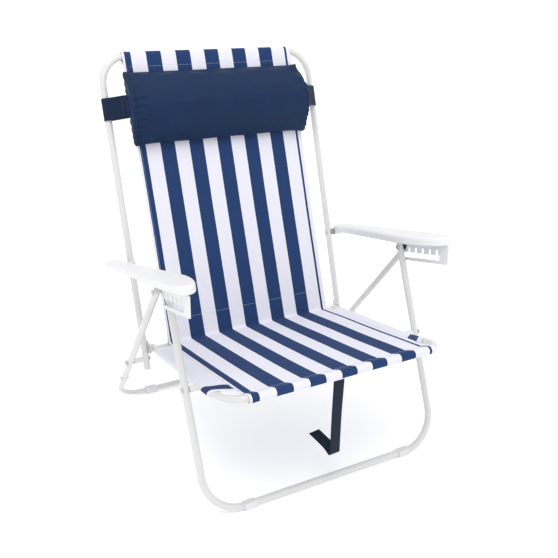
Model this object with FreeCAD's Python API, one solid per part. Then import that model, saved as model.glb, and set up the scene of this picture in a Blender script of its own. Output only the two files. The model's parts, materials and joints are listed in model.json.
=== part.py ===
import FreeCAD, Part
import math
import os

# Low folding beach chair: tube frame, striped sling, plastic armrests, headrest pillow.
# Units mm, +Z up, the sitter faces -Y, X = 0 is the plane of symmetry.
# Side-profile points are (y, z) measured from the centre of the front foot bar on the floor
# and are moved to the final frame by SHIFT_Y and SHIFT_Z when a node is saved.

V = FreeCAD.Vector
SHIFT_Y = -288.0
SHIFT_Z = 2.0

# ---- driving dimensions -------------------------------------------------------------------
TUBE_R = 8.0            # main frame tube, outer radius
WALL = 1.2              # tube wall
BASE_R = 6.75           # telescoping rear base tube, outer radius
CROSS_R = 6.0           # seat rear crossbar, outer radius
PIN_R = 3.0             # rivets and pivot pins
RUN = 0.05              # radial running clearance of every pivot
SIDE_GAP = 0.3          # axial clearance beside every pivot

X_SEAT = 262.0          # tube centre planes, from the inside out
X_BACK = 282.0
X_FRONT_LEG = 299.0
X_REAR_LEG = 322.0
LUG_X = (270.5, 273.5)
ARM_LUG_X = (307.4, 309.9)
RACK_X = (310.2, 313.6)

FRONT_FOOT = (0.0, 8.0)
P1 = (400.0, 214.0)     # seat to back hinge
P2 = (102.0, 260.0)     # front leg to seat rail
P3 = (182.0, 455.0)     # front leg to armrest, rear leg pin rests here too
P4 = (412.0, 185.0)     # rear leg to back tube
P5 = (480.0, 409.0)     # armrest to back tube
REAR_FOOT = (563.0, 7.75)
FRONT_BAR = (-48.0, 298.0)
SEAT_BEND_Y = 70.0
BACK_LENGTH = 730.0     # P4 to the top bar, along the back tube
BACK_TAIL = 24.0        # back tube below P4

SLING_HALF = 228.0
CLOTH = 1.2
CREASE = (392.0, 223.0)
SLING_SPLIT = 44.0      # the back panel of the sling starts this far above the crease

ARM_SLOPE = 0.211
ARM_THICK = 19.0
ARM_OVER_P3 = 15.0      # armrest underside above P3


# ---- small helpers ------------------------------------------------------------------------
def unit(a):
    length = math.hypot(a[0], a[1])
    return (a[0] / length, a[1] / length)


def at(origin, *terms):
    """Point reached from origin by (distance, direction) pairs in the (y, z) plane."""
    y, z = origin
    for distance, way in terms:
        y += distance * way[0]
        z += distance * way[1]
    return (y, z)


def on_plane(x, p):
    return V(x, p[0], p[1])


BACK_UP = unit((P5[0] - P4[0], P5[1] - P4[1]))
BACK_FRONT = (-BACK_UP[1], BACK_UP[0])
LEG_UP = unit((P3[0] - FRONT_FOOT[0], P3[1] - FRONT_FOOT[1]))
REAR_DOWN = unit((P4[0] - P3[0], P4[1] - P3[1]))
SEAT_FWD = unit((P2[0] - P1[0], P2[1] - P1[1]))
SEAT_UP = (SEAT_FWD[1], -SEAT_FWD[0])
SEAT_BEND = at(P1, ((SEAT_BEND_Y - P1[0]) / SEAT_FWD[0], SEAT_FWD))
NOSE_FWD = unit((FRONT_BAR[0] - SEAT_BEND[0], FRONT_BAR[1] - SEAT_BEND[1]))
NOSE_UP = (NOSE_FWD[1], -NOSE_FWD[0])
TOP_BAR = at(P4, (BACK_LENGTH, BACK_UP))
ARM_FWD = unit((-1.0, ARM_SLOPE))
ARM_UP = (-ARM_FWD[1] * -1.0, -ARM_FWD[0])


def arm_under(y):
    return P3[1] + ARM_OVER_P3 + ARM_SLOPE * (P3[0] - y)


def corner(before, at_point, after, radius):
    """Tangent points, middle point and centre of the round of one corner."""
    a = (before - at_point).normalize()
    b = (after - at_point).normalize()
    angle = a.getAngle(b)
    cut = radius / math.tan(angle / 2.0)
    middle = (a + b).normalize()
    centre = at_point + middle * (radius / math.sin(angle / 2.0))
    return at_point + a * cut, centre - middle * radius, at_point + b * cut, centre


def path_edges(points, radii):
    """Lines and arcs through points, with the inner corners rounded by radii."""
    edges = []
    start = points[0]
    for index, radius in enumerate(radii):
        first, mid, last, _ = corner(points[index], points[index + 1], points[index + 2], radius)
        if (first - start).Length > 1e-4:
            edges.append(Part.LineSegment(start, first).toShape())
        edges.append(Part.Arc(first, mid, last).toShape())
        start = last
    if (points[-1] - start).Length > 1e-4:
        edges.append(Part.LineSegment(start, points[-1]).toShape())
    return edges


def sweep(points, radii, r):
    """Solid rod of radius r along a rounded path."""
    path = Part.Wire(path_edges(points, radii))
    ring = Part.Wire([Part.makeCircle(r, points[0], points[1] - points[0])])
    return path.makePipeShell([ring], True, False)


def tube(points, radii, r, wall):
    return sweep(points, radii, r).cut(sweep(points, radii, r - wall))


def rod_x(x0, x1, p, r):
    """Cylinder along X from x0 to x1 centred on the side point p."""
    return Part.makeCylinder(r, x1 - x0, on_plane(x0, p), V(1, 0, 0))


def rod(start, end, r):
    return Part.makeCylinder(r, (end - start).Length, start, end - start)


def head(x0, x1, p, r):
    """Domed rivet head, flat face at x0 and crown at x1."""
    step = 1.0 if x1 > x0 else -1.0
    low = min(x0, x1)
    body = Part.makeCylinder(r, abs(x1 - x0), on_plane(low, p), V(1, 0, 0))
    crown = [e for e in body.Edges if abs(e.CenterOfMass.x - x1) < 1e-6 and len(e.Vertexes) == 1]
    return body.makeFillet(abs(x1 - x0) * 0.7, crown) if step else body


def plate(x0, x1, wire_points):
    """Flat plate between two X planes from a closed (y, z) outline."""
    outline = [on_plane(x0, p) for p in wire_points]
    face = Part.Face(Part.makePolygon(outline + [outline[0]]))
    return face.extrude(V(x1 - x0, 0, 0))


def tangent(centre, r, p, sign):
    """Point where the line from p touches the circle; sign picks the side."""
    dy = p[0] - centre[0]
    dz = p[1] - centre[1]
    turn = math.atan2(dz, dy) + sign * math.acos(r / math.hypot(dy, dz))
    return (centre[0] + r * math.cos(turn), centre[1] + r * math.sin(turn))


def teardrop(centre, r, p_plus, p_minus):
    """Closed outline: arc of the circle and straight sides to two points."""
    t_plus = tangent(centre, r, p_plus, 1.0)
    t_minus = tangent(centre, r, p_minus, -1.0)
    away = unit((2 * centre[0] - p_plus[0] - p_minus[0], 2 * centre[1] - p_plus[1] - p_minus[1]))
    return t_plus, at(centre, (r, away)), t_minus


def teardrop_plate(x0, x1, centre, r, p_plus, p_minus):
    t_plus, far, t_minus = [on_plane(x0, p) for p in teardrop(centre, r, p_plus, p_minus)]
    a = on_plane(x0, p_plus)
    b = on_plane(x0, p_minus)
    edges = [Part.LineSegment(a, t_plus).toShape(), Part.Arc(t_plus, far, t_minus).toShape()]
    edges += [Part.LineSegment(t_minus, b).toShape(), Part.LineSegment(b, a).toShape()]
    return Part.Face(Part.Wire(edges)).extrude(V(x1 - x0, 0, 0))


def shifted(points, radii, d):
    """Edges of the path moved sideways by d in its own (y, z) plane, with both end points."""
    flat = [V(0, p[0], p[1]) for p in points]
    ways = [(flat[i + 1] - flat[i]).normalize() for i in range(len(flat) - 1)]
    sides = [V(0, -w.z, w.y) for w in ways]
    start = flat[0] + sides[0] * d
    first_point = start
    edges = []
    for index, radius in enumerate(radii):
        first, mid, last, centre = corner(flat[index], flat[index + 1], flat[index + 2], radius)
        inner = (centre - first).dot(sides[index]) > 0
        grow = (radius - d if inner else radius + d) / radius
        first, mid, last = [centre + (p - centre) * grow for p in (first, mid, last)]
        if (first - start).Length > 1e-4:
            edges.append(Part.LineSegment(start, first).toShape())
        edges.append(Part.Arc(first, mid, last).toShape())
        start = last
    end = flat[-1] + sides[-1] * d
    if (end - start).Length > 1e-4:
        edges.append(Part.LineSegment(start, end).toShape())
    return edges, first_point, end


def ribbon(points, radii, thick, x0, x1):
    """Cloth or webbing: a thin band following a side path, between two X planes."""
    up, up_start, up_end = shifted(points, radii, thick / 2.0)
    down, down_start, down_end = shifted(points, radii, -thick / 2.0)
    caps = [Part.LineSegment(up_end, down_end).toShape(), Part.LineSegment(down_start, up_start).toShape()]
    wire = Part.Wire(Part.__sortEdges__(up + down + caps))
    solid = Part.Face(wire).extrude(V(x1 - x0, 0, 0))
    solid.translate(V(x0, 0, 0))
    return solid


def mirror(shape):
    return shape.mirror(V(0, 0, 0), V(1, 0, 0))


def save(name, shape):
    shape = shape.copy()
    shape.translate(V(0, SHIFT_Y, SHIFT_Z))
    solids = shape.Solids
    if len(solids) == 1:
        shape = solids[0]
    shape.exportStep("parts/" + name + ".step")
    box = shape.optimalBoundingBox(False)
    print("%-24s solids %d valid %s x %.1f..%.1f y %.1f..%.1f z %.1f..%.1f" % (
        name, len(solids), shape.isValid(), box.XMin, box.XMax, box.YMin, box.YMax, box.ZMin, box.ZMax))


def save_pair(name, right_shape):
    save(name + "_right", right_shape)
    save(name + "_left", mirror(right_shape))


def both(shape):
    return [shape, mirror(shape)]


def bore(shape, tools):
    for tool in tools:
        shape = shape.cut(tool)
    return shape


os.makedirs("parts", exist_ok=True)

# ---- seat frame ---------------------------------------------------------------------------
rail_end = at(P1, (-13.0, SEAT_FWD))
seat_points = [
    on_plane(-X_SEAT, rail_end), on_plane(-X_SEAT, SEAT_BEND), on_plane(-X_SEAT, FRONT_BAR),
    on_plane(X_SEAT, FRONT_BAR), on_plane(X_SEAT, SEAT_BEND), on_plane(X_SEAT, rail_end)]
seat_radii = [180.0, 60.0, 60.0, 180.0]
seat_solid = sweep(seat_points, seat_radii, TUBE_R)
seat_frame = seat_solid.cut(sweep(seat_points, seat_radii, TUBE_R - WALL))
seat_bores = both(rod_x(245.0, 285.0, P1, PIN_R)) + both(rod_x(245.0, 285.0, P2, PIN_R))
seat_frame = bore(seat_frame, seat_bores)
save("seat_frame_tube", seat_frame)

crossbar = rod_x(-X_SEAT, X_SEAT, P1, CROSS_R).cut(rod_x(-X_SEAT, X_SEAT, P1, CROSS_R - WALL))
crossbar = max(crossbar.cut(seat_solid).Solids, key=lambda s: s.Volume)
save("seat_rear_crossbar", crossbar)

rail_plug = rod(on_plane(X_SEAT, rail_end), on_plane(X_SEAT, at(rail_end, (-2.5, SEAT_FWD))), TUBE_R)
stem = rod(on_plane(X_SEAT, at(rail_end, (6.0, SEAT_FWD))), on_plane(X_SEAT, rail_end), TUBE_R - WALL)
save_pair("seat_rail_plug", rail_plug.fuse(stem).removeSplitter())

# seat to back hinge pin: fixed in the rail, turns in the lug of the back tube
hinge_pin = rod_x(250.0, LUG_X[1] + SIDE_GAP, P1, PIN_R)
hinge_pin = hinge_pin.fuse(head(LUG_X[1] + SIDE_GAP, LUG_X[1] + SIDE_GAP + 2.4, P1, 5.5))
save_pair("seat_hinge_pin", hinge_pin)

# seat to front leg pin, with the long white spacer between rail and leg
leg_in = X_FRONT_LEG - TUBE_R
leg_out = X_FRONT_LEG + TUBE_R
leg_pin = rod_x(256.0, leg_out + SIDE_GAP, P2, PIN_R).fuse(
    head(leg_out + SIDE_GAP, leg_out + SIDE_GAP + 2.8, P2, 6.0))
save_pair("seat_leg_pin", leg_pin)
spacer = rod_x(X_SEAT + 4.0, leg_in - SIDE_GAP, P2, 7.0).cut(rod_x(250.0, 300.0, P2, PIN_R)).cut(seat_solid)
save_pair("seat_leg_spacer", max(spacer.Solids, key=lambda s: s.Volume))

# ---- sling, seat part: hemmed round the front bar and looped round the rear crossbar -------
skin = TUBE_R + CLOTH / 2.0
loop = CROSS_R + CLOTH / 2.0
front_wrap = [
    at(FRONT_BAR, (skin, NOSE_UP), (skin, NOSE_FWD)),
    at(FRONT_BAR, (-skin, NOSE_UP), (skin, NOSE_FWD)),
    at(FRONT_BAR, (-skin, NOSE_UP), (-9.0, NOSE_FWD)),
    at(FRONT_BAR, (skin - CLOTH - 0.15, NOSE_UP), (-27.0, NOSE_FWD)),
    at(FRONT_BAR, (skin - CLOTH - 0.15, NOSE_UP), (-36.0, NOSE_FWD))]
rear_wrap = [
    at(P1, (skin - CLOTH - 0.15, SEAT_UP), (34.0, SEAT_FWD)),
    at(P1, (skin - CLOTH - 0.15, SEAT_UP), (24.0, SEAT_FWD)),
    at(P1, (-loop, SEAT_UP), (7.0, SEAT_FWD)),
    at(P1, (-loop, SEAT_UP), (-loop, SEAT_FWD)),
    at(P1, (skin, SEAT_UP), (-loop, SEAT_FWD))]
half_bend = unit((SEAT_UP[0] + NOSE_UP[0], SEAT_UP[1] + NOSE_UP[1]))
lift = skin / (half_bend[0] * SEAT_UP[0] + half_bend[1] * SEAT_UP[1])
bend_point = at(SEAT_BEND, (lift, half_bend))
seat_path = rear_wrap + [bend_point] + front_wrap
seat_path_radii = [6.0, 6.0, 6.6, 6.6, 180.0, 8.5, 8.5, 6.0, 6.0]
save("seat_sling", ribbon(seat_path, seat_path_radii, CLOTH, -SLING_HALF, SLING_HALF))

# side sleeves of the seat part: round the rails, open at the front leg pin
SLEEVE_Y = (-35.0, 370.0)
sleeve_path = [at(P1, (skin - 0.05, SEAT_UP)), bend_point, at(FRONT_BAR, (skin - 0.05, NOSE_UP), (20.0, NOSE_FWD))]
flap = ribbon(sleeve_path, [180.0], CLOTH - 0.2, SLING_HALF, 260.0)
sleeve_points = [on_plane(0.0, FRONT_BAR)] + seat_points[3:]
wrap = sweep(sleeve_points, seat_radii[2:], TUBE_R + CLOTH)
sleeve = wrap.fuse(flap)
sleeve = sleeve.common(Part.makeBox(70.0, SLEEVE_Y[1] - SLEEVE_Y[0], 200.0, V(SLING_HALF, SLEEVE_Y[0], 200.0)))
sleeve = sleeve.cut(seat_solid).cut(rod_x(X_SEAT, 290.0, P2, 9.0))
save_pair("seat_sleeve", max(sleeve.Solids, key=lambda s: s.Volume))

# ---- back frame ---------------------------------------------------------------------------
back_end = at(P4, (-BACK_TAIL, BACK_UP))
back_points = [
    on_plane(-X_BACK, back_end), on_plane(-X_BACK, TOP_BAR),
    on_plane(X_BACK, TOP_BAR), on_plane(X_BACK, back_end)]
back_solid = sweep(back_points, [70.0, 70.0], TUBE_R)
back_frame = back_solid.cut(sweep(back_points, [70.0, 70.0], TUBE_R - WALL))
back_bores = both(rod_x(265.0, 300.0, P4, PIN_R)) + both(rod_x(265.0, 300.0, P5, PIN_R))
back_frame = bore(back_frame, back_bores)
save("back_frame_tube", back_frame)

plug = rod(on_plane(X_BACK, at(back_end, (-3.0, BACK_UP))), on_plane(X_BACK, back_end), TUBE_R)
stem = rod(on_plane(X_BACK, back_end), on_plane(X_BACK, at(back_end, (10.0, BACK_UP))), TUBE_R - WALL)
save_pair("back_tube_plug", plug.fuse(stem).removeSplitter())

along = (P1[0] - P4[0]) * BACK_UP[0] + (P1[1] - P4[1]) * BACK_UP[1]
lug_low = at(P4, (along - 14.0, BACK_UP), (-4.0, BACK_FRONT))
lug_high = at(P4, (along + 20.0, BACK_UP), (-4.0, BACK_FRONT))
lug = teardrop_plate(LUG_X[0], LUG_X[1], P1, 9.5, lug_high, lug_low)
weld = plate(LUG_X[1], LUG_X[1] + 4.0, [
    at(P4, (along - 13.0, BACK_UP), (-4.0, BACK_FRONT)), at(P4, (along + 18.0, BACK_UP), (-4.0, BACK_FRONT)),
    at(P4, (along + 18.0, BACK_UP), (4.0, BACK_FRONT)), at(P4, (along - 13.0, BACK_UP), (4.0, BACK_FRONT))])
lug = lug.fuse(weld).cut(back_solid).cut(rod_x(260.0, 290.0, P1, PIN_R + RUN))
save_pair("back_hinge_lug", max(lug.Solids, key=lambda s: s.Volume))

# rear leg pivot: pin through the back tube, long spacer, then the rear leg
back_in = X_BACK - TUBE_R
back_out = X_BACK + TUBE_R
rear_in = X_REAR_LEG - TUBE_R
rear_out = X_REAR_LEG + TUBE_R
rear_pin = head(back_in, back_in - 2.4, P4, 5.5).fuse(rod_x(back_in, rear_out + SIDE_GAP, P4, PIN_R))
rear_pin = rear_pin.fuse(rod_x(rear_out + SIDE_GAP, rear_out + 3.0, P4, 7.0)).fuse(
    head(rear_out + 3.0, rear_out + 6.0, P4, 6.0))
save_pair("rear_leg_pin", rear_pin)
spacer = rod_x(X_BACK + 4.0, rear_in - SIDE_GAP, P4, 7.0).cut(rod_x(270.0, 330.0, P4, PIN_R)).cut(back_solid)
save_pair("rear_leg_spacer", max(spacer.Solids, key=lambda s: s.Volume))

# armrest pivot: pin through the back tube into the armrest boss, dark washer between
arm_pin = head(back_in, back_in - 2.4, P5, 5.5).fuse(rod_x(back_in, 315.5, P5, PIN_R))
save_pair("arm_pivot_pin", arm_pin)
washer = rod_x(X_BACK + 4.0, 299.4, P5, 8.0).cut(rod_x(270.0, 330.0, P5, PIN_R)).cut(back_solid)
save_pair("arm_pivot_washer", max(washer.Solids, key=lambda s: s.Volume))

# ---- sling, back part: hemmed round the top bar ---------------------------------------------
top_front = at(TOP_BAR, (skin, BACK_FRONT), (skin, BACK_UP))
panel_way = unit((top_front[0] - CREASE[0], top_front[1] - CREASE[1]))
back_path = [
    at(CREASE, (SLING_SPLIT, panel_way)), top_front,
    at(TOP_BAR, (-skin, BACK_FRONT), (skin, BACK_UP)),
    at(TOP_BAR, (-skin, BACK_FRONT), (-8.0, BACK_UP)),
    at(TOP_BAR, (skin - CLOTH + 0.1, BACK_FRONT), (-26.0, BACK_UP)),
    at(TOP_BAR, (skin - CLOTH + 0.4, BACK_FRONT), (-36.0, BACK_UP))]
save("back_sling", ribbon(back_path, [8.4, 8.6, 6.0, 6.0], CLOTH, -SLING_HALF, SLING_HALF))

# ---- headrest pillow and its straps ---------------------------------------------------------
PILLOW_HALF = 242.0
PILLOW_BACK = 18.6      # back face, in front of the back tube plane
PILLOW_SECTION = [(690.0, PILLOW_BACK), (628.0, 59.0), (601.0, 68.0), (573.0, 61.0), (513.0, PILLOW_BACK)]
STRAP_ALONG = (580.0, 632.0)


def back_frame_place(shape):
    """Move a shape drawn with Y = behind and Z = along the back tube from P4 into place."""
    tilt = math.degrees(math.atan2(BACK_UP[0], BACK_UP[1]))
    shape.rotate(V(0, 0, 0), V(1, 0, 0), -tilt)
    shape.translate(on_plane(0.0, P4))
    return shape


def pillow_solid():
    """Bolster with a flat back and a ridged front, all edges rounded."""
    ring = [V(-PILLOW_HALF, -off, along) for along, off in PILLOW_SECTION]
    block = Part.Face(Part.makePolygon(ring + [ring[0]])).extrude(V(2 * PILLOW_HALF, 0, 0))
    ridges = [e for e in block.Edges if e.BoundBox.XLength > PILLOW_HALF]
    block = block.makeFillet(9.0, ridges)
    rims = [e for e in block.Edges if e.BoundBox.XLength < 1e-3]
    return block.makeFillet(7.0, rims)


pillow = pillow_solid()
save("headrest_pillow", back_frame_place(pillow.copy()))


def strap_outline(grow):
    """Loop outline in (x, behind) coordinates round the back tube and to the pillow end."""
    centre = (X_BACK, 0.0)
    front = (PILLOW_HALF - 12.0, -(46.0 + grow))
    rear = (PILLOW_HALF - 12.0, -(34.0 - grow))
    return centre, TUBE_R + SIDE_GAP + grow, front, rear


def strap_solid(grow):
    centre, r, front, rear = strap_outline(grow)
    t_front = tangent(centre, r, front, 1.0)
    t_rear = tangent(centre, r, rear, -1.0)
    far = (centre[0] + r * math.cos(0.65), r * math.sin(0.65))
    pts = [V(p[0], p[1], STRAP_ALONG[0]) for p in (front, t_front, far, t_rear, rear)]
    edges = [Part.LineSegment(pts[0], pts[1]).toShape(), Part.Arc(pts[1], pts[2], pts[3]).toShape(),
             Part.LineSegment(pts[3], pts[4]).toShape(), Part.LineSegment(pts[4], pts[0]).toShape()]
    return Part.Face(Part.Wire(edges)).extrude(V(0, 0, STRAP_ALONG[1] - STRAP_ALONG[0]))


webbing = strap_solid(1.8).cut(strap_solid(0.0)).cut(pillow)
save_pair("pillow_strap", back_frame_place(max(webbing.Solids, key=lambda s: s.Volume)))

# ---- front leg frame ------------------------------------------------------------------------
leg_top = at(P3, (7.5, LEG_UP))
leg_points = [
    on_plane(-X_FRONT_LEG, leg_top), on_plane(-X_FRONT_LEG, FRONT_FOOT),
    on_plane(X_FRONT_LEG, FRONT_FOOT), on_plane(X_FRONT_LEG, leg_top)]
leg_frame = tube(leg_points, [85.0, 85.0], TUBE_R, WALL)
leg_bores = both(rod_x(280.0, 315.0, P2, PIN_R + RUN)) + both(rod_x(280.0, 315.0, P3, PIN_R))
save("front_leg_tube", bore(leg_frame, leg_bores))

cap = rod(on_plane(X_FRONT_LEG, leg_top), on_plane(X_FRONT_LEG, at(leg_top, (2.5, LEG_UP))), TUBE_R)
stem = rod(on_plane(X_FRONT_LEG, at(leg_top, (-3.5, LEG_UP))), on_plane(X_FRONT_LEG, leg_top), TUBE_R - WALL)
save_pair("front_leg_plug", cap.fuse(stem).removeSplitter())

top_pin = head(leg_in, leg_in - 2.4, P3, 5.5).fuse(rod_x(leg_in, ARM_LUG_X[1], P3, PIN_R))
save_pair("leg_top_pin", top_pin)


def foot_clip(x0, x1, centre, r):
    """Open plastic clip gripping a floor bar, flat where it stands on the floor."""
    outer = rod_x(x0, x1, centre, centre[1] + SHIFT_Z + 0.6)
    outer = outer.cut(rod_x(x0, x1, centre, r))
    floor = Part.makeBox(x1 - x0, 60.0, 20.0, V(x0, centre[0] - 30.0, -SHIFT_Z - 20.0))
    mouth = plate(x0, x1, [centre, at(centre, (30.0, unit((-0.8, 1.0)))), at(centre, (30.0, unit((0.8, 1.0))))])
    return outer.cut(floor).cut(mouth)


save_pair("front_foot_clip", foot_clip(190.0, 217.0, FRONT_FOOT, TUBE_R))

# ---- rear legs: two upper tubes and a thinner base pushed into them ---------------------------
rear_top = at(P3, (-6.5, REAR_DOWN))
rear_low = at(P4, ((P4[1] - 98.0) / -REAR_DOWN[1], REAR_DOWN))
upper = rod(on_plane(X_REAR_LEG, rear_top), on_plane(X_REAR_LEG, rear_low), TUBE_R)
upper = upper.cut(rod(on_plane(X_REAR_LEG, rear_top), on_plane(X_REAR_LEG, rear_low), TUBE_R - WALL))
base_rivet = at(P4, ((P4[1] - 111.0) / -REAR_DOWN[1], REAR_DOWN))
upper = upper.cut(rod_x(305.0, 340.0, P4, PIN_R + RUN)).cut(rod_x(305.0, 340.0, P3, PIN_R))
upper = upper.cut(rod_x(305.0, 340.0, base_rivet, 2.5))
save_pair("rear_leg", upper)

base_top = at(P4, ((P4[1] - 150.0) / -REAR_DOWN[1], REAR_DOWN))
base_points = [
    on_plane(-X_REAR_LEG, base_top), on_plane(-X_REAR_LEG, REAR_FOOT),
    on_plane(X_REAR_LEG, REAR_FOOT), on_plane(X_REAR_LEG, base_top)]
base = tube(base_points, [78.0, 78.0], BASE_R, WALL)
save("rear_base_tube", bore(base, both(rod_x(305.0, 340.0, base_rivet, 2.5))))

rivet = rod_x(rear_in, rear_out, base_rivet, 2.5).fuse(head(rear_out, rear_out + 2.2, base_rivet, 5.0)).fuse(
    head(rear_in, rear_in - 2.2, base_rivet, 5.0))
save_pair("base_rivet", rivet)

cap = rod(on_plane(X_REAR_LEG, at(rear_top, (-2.5, REAR_DOWN))), on_plane(X_REAR_LEG, rear_top), TUBE_R)
stem = rod(on_plane(X_REAR_LEG, rear_top), on_plane(X_REAR_LEG, at(rear_top, (3.0, REAR_DOWN))), TUBE_R - WALL)
save_pair("rear_leg_plug", cap.fuse(stem).removeSplitter())

stub = rod_x(RACK_X[0] + 0.2, rear_out, P3, PIN_R).fuse(head(rear_out, rear_out + 3.0, P3, 6.0))
save_pair("rack_pin", stub)

save_pair("rear_foot_clip", foot_clip(212.0, 241.0, REAR_FOOT, BASE_R))

# ---- armrests -------------------------------------------------------------------------------
arm_outline = [
    (300.5, 487.0), (300.0, 462.0), (299.0, 425.0), (295.5, 385.0), (291.0, 340.0), (286.5, 295.0),
    (281.5, 250.0), (275.5, 200.0), (270.5, 160.0), (269.5, 132.0), (272.0, 100.0), (279.0, 70.0),
    (290.0, 44.0), (305.0, 29.0), (321.0, 27.5), (334.0, 41.0), (341.5, 66.0), (345.0, 100.0),
    (346.0, 145.0), (346.0, 200.0), (346.0, 255.0), (346.0, 310.0), (346.0, 365.0), (346.0, 420.0),
    (346.0, 460.0), (345.0, 486.0), (338.0, 497.0), (323.0, 499.5), (308.0, 497.0)]


LIP_CUT = 10.0       # rise of the underside at the outer edge


def armrest():
    """Contoured plank, drawn level and then tipped up toward the front."""
    curve = Part.BSplineCurve()
    curve.interpolate([V(x, y, 0) for x, y in arm_outline], PeriodicFlag=True)
    plank = Part.Face(Part.Wire([curve.toShape()])).extrude(V(0, 0, ARM_THICK))
    rims = [e for e in plank.Edges if abs(e.BoundBox.ZMax - e.BoundBox.ZMin) < 1e-3]
    top = [e for e in rims if e.BoundBox.ZMax > ARM_THICK / 2.0]
    plank = plank.makeFillet(7.0, top)
    low = [e for e in plank.Edges if e.BoundBox.ZMax < 1e-3]
    plank = plank.makeFillet(2.5, low)
    # the outer side is undercut: a thin lip outside, full depth over the rack
    under_lip = Part.Face(Part.makePolygon([V(318, -150, -5), V(380, -150, -5), V(380, -150, LIP_CUT * 62.0 / 29.0),
                                            V(318, -150, 0), V(318, -150, -5)])).extrude(V(0, 700, 0))
    plank = plank.cut(under_lip)
    plank.translate(V(0, -P3[0], 0))
    plank.rotate(V(0, 0, 0), V(1, 0, 0), -math.degrees(math.atan(ARM_SLOPE)))
    plank.translate(V(0, P3[0], arm_under(P3[0])))
    boss = rod_x(299.7, 320.0, P5, 10.0)
    return plank.fuse(boss).cut(rod_x(290.0, 316.0, P5, PIN_R + RUN)).removeSplitter()


arm = armrest()
save_pair("armrest", arm)

arm_lug = teardrop_plate(ARM_LUG_X[0], ARM_LUG_X[1], P3, 9.0,
                         (P3[0] - 14.0, arm_under(P3[0] - 14.0) + 1.0), (P3[0] + 12.0, arm_under(P3[0] + 12.0) + 1.0))
arm_lug = arm_lug.cut(arm).cut(rod_x(300.0, 315.0, P3, PIN_R + RUN))
save_pair("arm_lug", max(arm_lug.Solids, key=lambda s: s.Volume))

# ---- recline rack under each armrest ----------------------------------------------------------
NOTCH_Y = (161.0, 137.0, 112.0, 87.0, 63.0)
NOTCH_WIDE = 8.0
NOTCH_DEEP = 14.0


def slot_top(y):
    return 445.6 + (161.7 - y) * 0.2284


def bar_top(y):
    return 429.0 + (175.0 - y) * 0.239


def rack_top(y):
    return arm_under(y) - 1.4


def rack():
    x0, x1 = RACK_X
    seat_z = P3[1] + PIN_R + 0.35
    front = P3[0] - PIN_R - 0.5
    body = plate(x0, x1, [
        (25.0, rack_top(25.0)), (193.0, rack_top(193.0)), (193.0, seat_z), (front, seat_z),
        (front, 436.0), (175.0, 436.0), (175.0, bar_top(175.0) - 8.0), (25.0, bar_top(25.0) - 8.0)])
    body = body.cut(plate(x0, x1, [
        (52.0, slot_top(52.0)), (200.0, slot_top(200.0)), (200.0, bar_top(200.0)), (52.0, bar_top(52.0))]))
    for y in NOTCH_Y:
        crown = slot_top(y) + NOTCH_DEEP - NOTCH_WIDE / 2.0
        body = body.cut(plate(x0, x1, [
            (y - NOTCH_WIDE / 2, bar_top(y) + 2), (y + NOTCH_WIDE / 2, bar_top(y) + 2),
            (y + NOTCH_WIDE / 2, crown), (y - NOTCH_WIDE / 2, crown)]))
        body = body.cut(rod_x(x0, x1, (y, crown), NOTCH_WIDE / 2.0))
    for y in (38.0, 124.0, 186.0):
        body = body.fuse(plate(x0, x1, [(y - 6.0, rack_top(y - 6.0) - 1.0), (y + 6.0, rack_top(y + 6.0) - 1.0),
                                        (y + 6.0, arm_under(y + 6.0) + 3.0), (y - 6.0, arm_under(y - 6.0) + 3.0)]))
    return max(body.cut(arm).removeSplitter().Solids, key=lambda s: s.Volume)


save_pair("recline_rack", rack())

# ---- closing strap hanging from the front of the sling ------------------------------------------
STRAP_X = (-31.5, -8.5)
strap_path = [(-47.0, 283.4), (-46.0, 100.0), (33.0, 113.0)]
save("closing_strap", ribbon(strap_path, [5.0], 1.8, STRAP_X[0], STRAP_X[1]))
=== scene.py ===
import json
import math

import bpy
import numpy as np
from mathutils import Matrix, Vector, noise
from mathutils.bvhtree import BVHTree


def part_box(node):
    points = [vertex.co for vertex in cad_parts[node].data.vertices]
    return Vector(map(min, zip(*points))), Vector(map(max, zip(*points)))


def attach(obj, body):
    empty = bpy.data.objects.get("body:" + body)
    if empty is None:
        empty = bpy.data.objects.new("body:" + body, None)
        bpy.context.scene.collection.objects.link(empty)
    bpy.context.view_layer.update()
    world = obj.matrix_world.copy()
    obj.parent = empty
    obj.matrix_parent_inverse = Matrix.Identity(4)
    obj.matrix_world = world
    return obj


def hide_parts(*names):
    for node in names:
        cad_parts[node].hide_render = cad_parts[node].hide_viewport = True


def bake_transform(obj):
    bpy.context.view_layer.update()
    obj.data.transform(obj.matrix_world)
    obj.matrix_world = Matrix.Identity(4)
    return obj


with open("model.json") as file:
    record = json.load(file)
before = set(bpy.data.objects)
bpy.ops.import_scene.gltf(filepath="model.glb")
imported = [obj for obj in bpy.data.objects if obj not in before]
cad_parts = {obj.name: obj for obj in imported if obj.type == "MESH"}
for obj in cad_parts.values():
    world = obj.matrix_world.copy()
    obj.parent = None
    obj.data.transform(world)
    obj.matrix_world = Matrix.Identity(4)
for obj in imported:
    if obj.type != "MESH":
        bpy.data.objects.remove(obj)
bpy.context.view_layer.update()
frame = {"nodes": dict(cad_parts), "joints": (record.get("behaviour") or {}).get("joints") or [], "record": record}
nodes = frame["nodes"]
joints = {j["name"]: j for j in frame["joints"]}

# ---- places, all from the frame (metres, side points are (y, z)) -------------------------------
MM = 0.001
TUBE_R = 8.0 * MM
CROSS_R = 6.0 * MM
CLOTH = 1.2 * MM
SKIN = TUBE_R + CLOTH / 2
SLING_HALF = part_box("seat_sling")[1].x
RAIL_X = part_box("seat_frame_tube")[1].x - TUBE_R
BACK_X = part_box("back_frame_tube")[1].x - TUBE_R


def side(name):
    return np.array(joints[name]["pos_m"][1:3], float)


def unit(v):
    v = np.asarray(v, float)
    return v / np.linalg.norm(v)


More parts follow.
